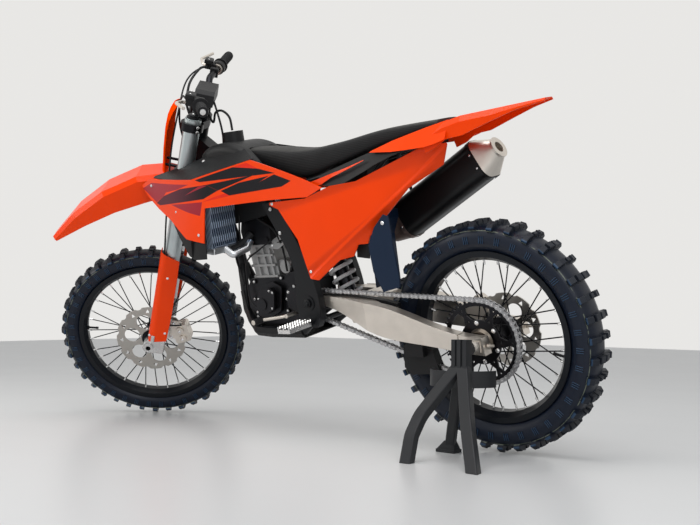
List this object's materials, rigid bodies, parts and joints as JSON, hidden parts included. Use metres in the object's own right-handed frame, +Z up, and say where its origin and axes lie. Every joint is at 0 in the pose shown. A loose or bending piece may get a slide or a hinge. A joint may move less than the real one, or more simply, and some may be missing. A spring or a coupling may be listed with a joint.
{
  "type": "motocross bike",
  "caption": "Off-road racing motorcycle with knobbly tyres and orange bodywork, leaning on a plug-in paddock stand with its steering turned to the left stop",
  "frame": {"origin": "centre of the bounding box in plan, at ground level", "axes": "+X forward along the bike, +Y to the rider's left, +Z up; the parked bike leans to +Y"},
  "size_m": [2.1104, 0.7383, 1.3807],
  "materials": {
    "orange_plastic": "glossy moulded colour",
    "black_plastic": "satin moulded black",
    "seat_cover": "grained grip cover",
    "tyre": "new rubber with a slight sheen",
    "grip_rubber": "matt rubber",
    "frame_paint": "satin powder coat",
    "stand_paint": "matt powder coat",
    "black_alloy": "black anodised",
    "raw_alloy": "brushed cast",
    "fork_alloy": "fine brushed",
    "engine_alloy": "dark coated casting",
    "cylinder_alloy": "cast grey",
    "steel": "brushed",
    "chain_steel": "oiled",
    "exhaust_steel": "heat tinted",
    "radiator_alloy": "fine finned",
    "spring_steel": "powder coat"
  },
  "bodies": {
    "chassis": {"frame": "frame_paint", "subframe": "frame_paint", "engine_case": "engine_alloy", "cylinder": "cylinder_alloy", "head_cover": "engine_alloy", "exhaust_header": "exhaust_steel", "silencer": "black_alloy", "silencer_cap": "raw_alloy", "radiators": "radiator_alloy", "radiator_shrouds": "orange_plastic", "radiator_guards": "black_plastic", "fuel_tank": "black_plastic", "seat": "seat_cover", "side_panels": "orange_plastic", "rear_fender": "orange_plastic", "airbox": "black_plastic", "mud_flap": "black_plastic", "swingarm": "raw_alloy", "shock": "black_alloy", "shock_spring": "spring_steel", "shock_linkage": "raw_alloy", "chain": "chain_steel", "chain_guards": "black_plastic", "footpegs": "steel", "foot_levers": "raw_alloy", "frame_guards": "black_plastic", "rear_brake_caliper": "raw_alloy", "rear_axle": "steel", "drive_sprocket": "steel", "paddock_stand": "stand_paint"},
    "steering": {"triple_clamps": "black_alloy", "fork_tubes": "fork_alloy", "fork_lowers": "steel", "fork_guards": "orange_plastic", "front_fender": "orange_plastic", "number_plate": "orange_plastic", "handlebar": "black_alloy", "bar_pad": "black_plastic", "grips": "grip_rubber", "hand_levers": "raw_alloy", "front_brake_caliper": "raw_alloy", "front_axle": "steel", "brake_hose": "grip_rubber"},
    "front_wheel": {"front_tyre": "tyre", "front_rim": "black_alloy", "front_hub": "black_alloy", "front_disc": "steel"},
    "rear_wheel": {"rear_tyre": "tyre", "rear_rim": "black_alloy", "rear_hub": "black_alloy", "rear_disc": "steel", "rear_sprocket": "black_alloy"}
  },
  "joints": [
    {"name": "steering_turn", "type": "hinge", "parent": "chassis", "child": "steering", "pos_m": [0.38434, 0.02799, 0.99453], "axis": [-0.4332, 0.2096, 0.8766], "range_deg": [-80, 0]},
    {"name": "front_wheel_spin", "type": "hinge", "parent": "steering", "child": "front_wheel", "pos_m": [0.75948, -0.09753, 0.32012], "axis": [-0.5807, 0.6789, -0.4494], "continuous": true},
    {"name": "rear_wheel_spin", "type": "hinge", "parent": "chassis", "child": "rear_wheel", "pos_m": [-0.71408, -0.13138, 0.33909], "axis": [-0.0018, 0.9724, -0.2334], "continuous": true}
  ]
}
